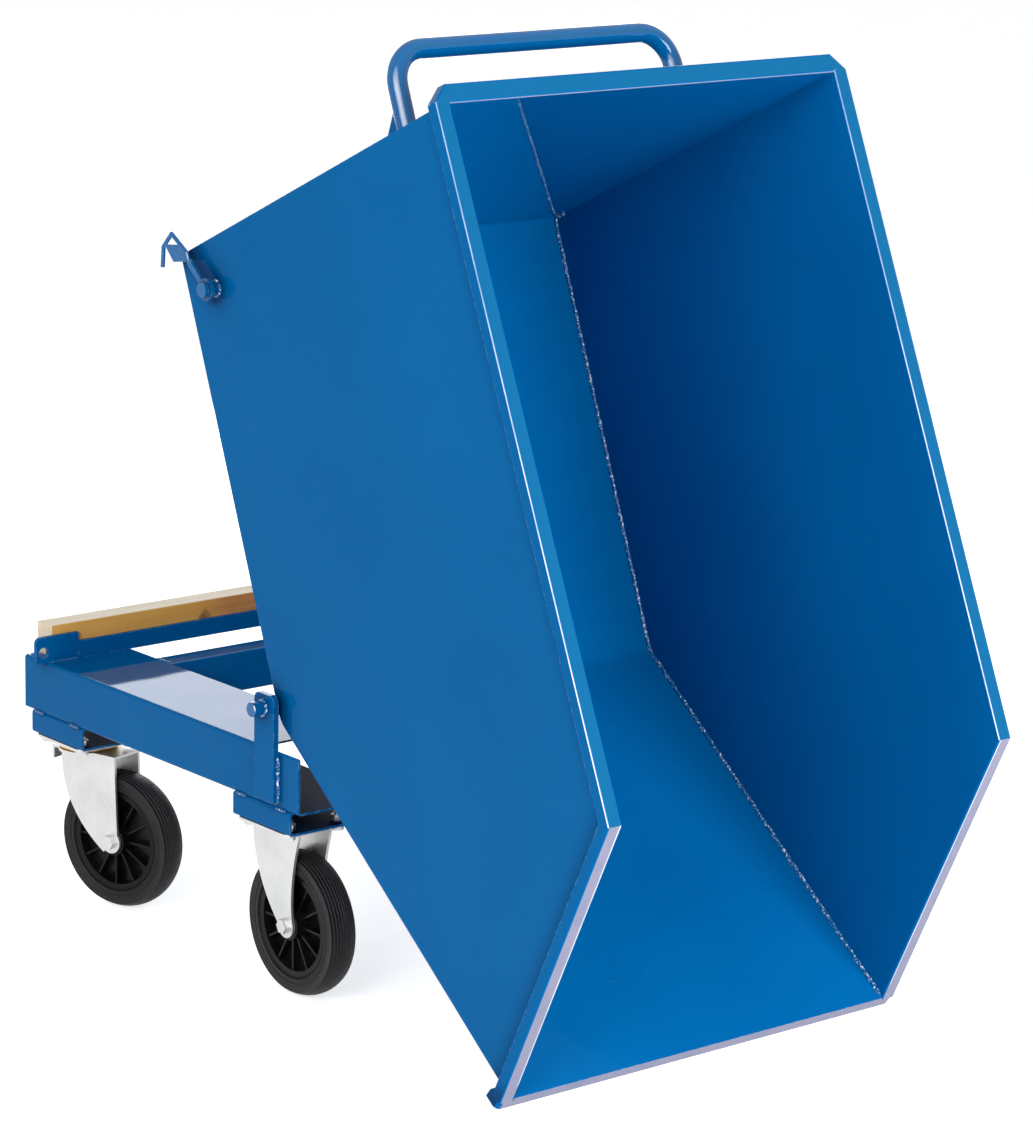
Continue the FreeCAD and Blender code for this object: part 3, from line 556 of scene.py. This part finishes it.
def black_plastic():
    """Moulded wheel centre with a fine grain."""
    material, tree, shader = new_material("black_plastic")
    where = place(tree)
    cloud = noise(tree, where, 30.0, detail=5.0, rough=0.6)
    colour = mixed(tree, span(tree, cloud, 0.35, 0.7), (0.003, 0.003, 0.0035, 1), (0.008, 0.008, 0.009, 1))
    plug(tree, shader, "Base Color", colour)
    plug(tree, shader, "Roughness", span(tree, cloud, 0.3, 0.7, to_low=0.20, to_high=0.32))
    plug(tree, shader, "Normal", bump(tree, noise(tree, where, 1200.0), 0.0003, strength=0.20))
    shader.inputs["Specular IOR Level"].default_value = 0.12
    return material


def bush_steel():
    """Plain turned steel of the wheel bushes."""
    material, tree, shader = new_material("bush_steel")
    where = place(tree)
    turned = noise(tree, stretched(tree, where, (90.0, 1400.0, 90.0)), 1.0, detail=3.0)
    colour = mixed(tree, turned, (0.34, 0.34, 0.34, 1), (0.55, 0.55, 0.54, 1))
    plug(tree, shader, "Base Color", colour)
    plug(tree, shader, "Roughness", span(tree, turned, 0.3, 0.7, to_low=0.28, to_high=0.44))
    plug(tree, shader, "Normal", bump(tree, turned, 0.0003, strength=0.3))
    shader.inputs["Metallic"].default_value = 0.9
    return material


def seen_or_mirrored(tree):
    """1 for rays from the camera, from mirrors and through glass, 0 for rays that only light the scene."""
    path = tree.nodes.new("ShaderNodeLightPath").outputs
    seen = larger(tree, path["Is Camera Ray"], path["Is Glossy Ray"])
    return larger(tree, seen, path["Is Transmission Ray"])


def floor_paper():
    """White paper floor that stays white to the eye and keeps the shadow."""
    material, tree, shader = new_material("floor_paper")
    fibre = noise(tree, place(tree), 3.0, detail=3.0)
    plug(tree, shader, "Base Color", mixed(tree, fibre, (0.86, 0.86, 0.86, 1), (0.88, 0.88, 0.88, 1)))
    shader.inputs["Roughness"].default_value = 0.9
    shader.inputs["Specular IOR Level"].default_value = 0.0
    shader.inputs["Emission Color"].default_value = (1, 1, 1, 1)
    glow = span(tree, seen_or_mirrored(tree), 0.0, 1.0, to_high=floor_glow)
    plug(tree, shader, "Emission Strength", glow)
    return material


# Stage


def add_floor(material):
    """Plain floor that reaches far past the view."""
    mesh = bpy.data.meshes.new("floor")
    corners = [(x * floor_half, y * floor_half, 0) for x, y in ((-1, -1), (1, -1), (1, 1), (-1, 1))]
    mesh.from_pydata(corners, [], [(0, 1, 2, 3)])
    floor = bpy.data.objects.new("floor", mesh)
    mesh.materials.append(material)
    bpy.context.scene.collection.objects.link(floor)


def add_world():
    """Soft even studio light, white where it is seen or mirrored."""
    world = bpy.data.worlds.new("studio")
    world.use_nodes = True
    tree = world.node_tree
    back = tree.nodes["Background"]
    back.inputs["Color"].default_value = (1, 1, 1, 1)
    strength = span(tree, seen_or_mirrored(tree), 0.0, 1.0, to_low=world_light, to_high=world_seen)
    plug(tree, back, "Strength", strength)
    bpy.context.scene.world = world


def add_lamp(name, at, aim, size, power):
    """Softbox that the camera doesn't see."""
    data = bpy.data.lights.new(name, "AREA")
    data.shape = "RECTANGLE"
    data.size = size[0]
    data.size_y = size[1]
    data.energy = power
    lamp = bpy.data.objects.new(name, data)
    lamp.location = at
    lamp.rotation_euler = (Vector(aim) - Vector(at)).to_track_quat("-Z", "Y").to_euler()
    lamp.visible_camera = False
    bpy.context.scene.collection.objects.link(lamp)


def add_lamps():
    """Key light from the right, fills from front and back, and a strip for highlights on the bars."""
    add_lamp("key", at=(2.4, -4.4, 2.6), aim=(0.1, 0, 0.6), size=(2.4, 2.4), power=136)
    add_lamp("front", at=(4.9, 0.5, 1.4), aim=(0.3, 0, 0.7), size=(2.2, 2.2), power=236)
    add_lamp("back", at=(-3.1, 2.0, 1.2), aim=(-0.4, 0, 0.4), size=(2.2, 2.2), power=60)
    add_lamp("strip", at=(0.3, -4.6, 1.9), aim=(0, -0.2, 1.0), size=(0.3, 1.4), power=20)


# Weld beads


def tipped(point, y):
    """Where an upright outline point of the skip lies at rest."""
    forward = point.x * math.cos(tip_angle) + point.y * math.sin(tip_angle)
    rise = point.y * math.cos(tip_angle) - point.x * math.sin(tip_angle)
    return Vector((pivot.x + forward, y, pivot.z + rise))


def left_of(start, end):
    """Unit vector to the left of the way from one outline point to the next, where the skip's inside is."""
    way = (end - start).normalized()
    return Vector((-way.y, way.x))


def inset_corner(before, corner, after, distance):
    """A corner of the outline moved inward, a distance from both its lines."""
    left_before = left_of(before, corner)
    middle = (left_before + left_of(corner, after)).normalized()
    return corner + middle * (distance / middle.dot(left_before))


def spaced(route):
    """The same route with a point at every half ripple."""
    step = bead_ripple / 2
    points = [route[0]]
    carry = 0.0
    for first, second in zip(route, route[1:]):
        length = (second - first).length
        along = step - carry
        while along <= length:
            points.append(first.lerp(second, along / length))
            along += step
        carry = length - (along - step)
    return points


def rounded_route(points, radii):
    """A polyline whose inner corners are arcs."""
    route = [points[0]]
    for before, corner, after, radius in zip(points, points[1:], points[2:], radii):
        back = (before - corner).normalized()
        on = (after - corner).normalized()
        half = back.angle(on) / 2
        reach = radius / math.tan(half)
        centre = corner + (back + on).normalized() * (radius / math.sin(half))
        start = corner + back * reach - centre
        end = corner + on * reach - centre
        for k in range(arc_steps + 1):
            route.append(centre + start.lerp(end, k / arc_steps).normalized() * radius)
    route.append(points[-1])
    return route


def ring_route(centre, axis, radius):
    """A circle about an axis."""
    side = Vector(axis).orthogonal().normalized()
    other = Vector(axis).normalized().cross(side)
    turns = [2 * math.pi * k / ring_steps for k in range(ring_steps + 1)]
    return [Vector(centre) + (side * math.cos(a) + other * math.sin(a)) * radius for a in turns]


def bead_mesh(points, radius, verts, faces):
    """Add one rippled tube with closed ends to a mesh's lists."""
    first_vert = len(verts)
    last = len(points) - 1
    for k, point in enumerate(points):
        way = (points[min(k + 1, last)] - points[max(k - 1, 0)]).normalized()
        side = way.orthogonal().normalized()
        other = way.cross(side)
        ripple = bead_valley + bead_crest * (k % 2) + chance.uniform(-bead_wobble, bead_wobble)
        size = radius * ripple * (bead_end if k in (0, last) else 1.0)
        for s in range(bead_sides):
            turn = 2 * math.pi * s / bead_sides
            verts.append(point + (side * math.cos(turn) + other * math.sin(turn)) * size)
    for k in range(last):
        for s in range(bead_sides):
            a = first_vert + k * bead_sides + s
            b = first_vert + k * bead_sides + (s + 1) % bead_sides
            faces.append((a, b, b + bead_sides, a + bead_sides))
    faces.append(tuple(first_vert + s for s in reversed(range(bead_sides))))
    faces.append(tuple(first_vert + last * bead_sides + s for s in range(bead_sides)))


def add_beads(name, routes, radius, body, material):
    """Weld beads along some routes, as one piece that rides on a body."""
    verts = []
    faces = []
    for route in routes:
        bead_mesh(spaced(route), radius, verts, faces)
    mesh = bpy.data.meshes.new(name)
    mesh.from_pydata(verts, [], faces)
    mesh.materials.append(material)
    mesh.polygons.foreach_set("use_smooth", [True] * len(mesh.polygons))
    beads = bpy.data.objects.new(name, mesh)
    bpy.context.scene.collection.objects.link(beads)
    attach(beads, body)


def skip_seams(material):
    """Beads along the inside corners where the side sheets meet the bottom and the slope."""
    inner = skip_sheet + bead_radius * bead_standoff
    rear_corner = inset_corner(rear_top, rear_foot, heel, inner)
    front_corner = inset_corner(rear_foot, heel, lip, inner)
    start = rear_top.lerp(rear_foot, seam_start_share)
    start += left_of(start, rear_corner) * inner
    end = lip.lerp(heel, seam_end_share) + left_of(heel, lip) * inner
    route = rounded_route([start, rear_corner, front_corner, end], [rear_bend - inner, front_bend - inner])
    for side, name in ((-1, "seam_right"), (1, "seam_left")):
        y = side * (half_skip - bead_radius * bead_standoff)
        add_beads(name, [[tipped(p, y) for p in route]], bead_radius, "skip", material)


def handle_welds(material):
    """Rings round the handle's feet on the rear wall."""
    foot = rear_foot.lerp(rear_top, handle_rise / (rear_top.y - rear_foot.y))
    wall = tipped(rear_top, 0) - tipped(rear_foot, 0)
    outward = wall.cross(Vector((0, 1, 0)))
    routes = [ring_route(tipped(foot, side * half_handle), outward, handle_radius) for side in (-1, 1)]
    add_beads("handle_welds", routes, bead_radius, "skip", material)


def latch_weld(material):
    """Ring round the latch's boss on the side sheet."""
    low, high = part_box("latch_spacer")
    centre = Vector(((low[0] + high[0]) / 2, high[1], (low[2] + high[2]) / 2))
    ring = ring_route(centre, (0, 1, 0), (high[0] - low[0]) / 2)
    add_beads("latch_weld", [ring], small_bead_radius, "skip", material)


def tube_welds(material):
    """Short stitches along both sides of the pivot tube under the bottom."""
    routes = []
    for share in (-tube_weld_share, tube_weld_share):
        seat = Vector((share * tube_radius, tube_radius - tube_weld_sink))
        for middle in tube_stitches:
            routes.append([tipped(seat, middle - half_tube_stitch), tipped(seat, middle + half_tube_stitch)])
    add_beads("tube_welds", routes, small_bead_radius, "skip", material)


def bracket_welds(material):
    """Beads round the pivot brackets on the webs, and round the pins in the brackets."""
    for side, name in ((-1, "right"), (1, "left")):
        low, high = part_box("pivot_bracket_" + name)
        web, face = (high[1], low[1]) if side < 0 else (low[1], high[1])
        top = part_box("side_member_" + name)[1][2] - edge_inset
        edges = [(low[0], top), (low[0], low[2]), (high[0], low[2]), (high[0], top)]
        edge = [Vector((x, web, z)) for x, z in edges]
        pin_low, pin_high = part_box("pivot_pin_" + name)
        ring = ring_route((pivot.x, face, pivot.z), (0, 1, 0), (pin_high[0] - pin_low[0]) / 2)
        add_beads("bracket_welds_" + name, [edge, ring], bead_radius, "chassis", material)


def frame_welds(material):
    """Beads on the chassis: the latch lug's foot, the cross channel's ends and the castor pads."""
    member_low, member_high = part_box("side_member_right")
    top = member_high[2]
    low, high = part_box("latch_lug")
    routes = [[Vector((high[0], y, top)) for y in (member_low[1] + edge_inset, high[1])]]
    low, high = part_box("cross_member")
    for y in (low[1], high[1]):
        routes.append([Vector((x, y, top)) for x in (low[0] + cross_inset, high[0] - cross_inset)])
    low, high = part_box("castor_pads")
    for y in (low[1], high[1]):
        for pad_middle in (low[0] + pad_length / 2, high[0] - pad_length / 2):
            for shift in (-pad_stitch_shift, pad_stitch_shift):
                ends = (pad_middle + shift - half_pad_stitch, pad_middle + shift + half_pad_stitch)
                routes.append([Vector((x, y, high[2])) for x in ends])
    add_beads("frame_welds", routes, small_bead_radius, "chassis", material)


def add_welds():
    """Grainy beads with many painted glints on the skip's seams, the latch and the brackets, fewer elsewhere."""
    bright = weld_paint("bright_weld", glint_level=0.57)
    smooth = weld_paint("smooth_weld", glint_level=0.66)
    skip_seams(bright)
    handle_welds(smooth)
    latch_weld(bright)
    tube_welds(smooth)
    bracket_welds(bright)
    frame_welds(smooth)


def dress_nodes():
    """Give every CAD node the material of its slot."""
    made = {
        "blue_paint": sheet_paint(),
        "bright_zinc": bright_zinc(),
        "yellow_zinc": yellow_zinc(),
        "timber": timber(),
        "black_plastic": black_plastic(),
        "bush": bush_steel(),
    }
    bar_finish = bar_paint()
    bars = ["handle", "latch_lever", "latch_bolt", "latch_spacer", "pivot_pin_right", "pivot_pin_left"]
    for part in record["subparts"]:
        name = part["node"]
        if name in bars:
            finish = bar_finish
        elif name.startswith("tyre_"):
            finish = rubber(name.removeprefix("tyre_"))
        else:
            finish = made[part["material_slot"]]
        mesh = nodes[name].data
        mesh.materials.clear()
        mesh.materials.append(finish)


bpy.context.scene.view_settings.view_transform = "Standard"
add_camera()
add_world()
add_floor(floor_paper())
add_lamps()
dress_nodes()
add_welds()
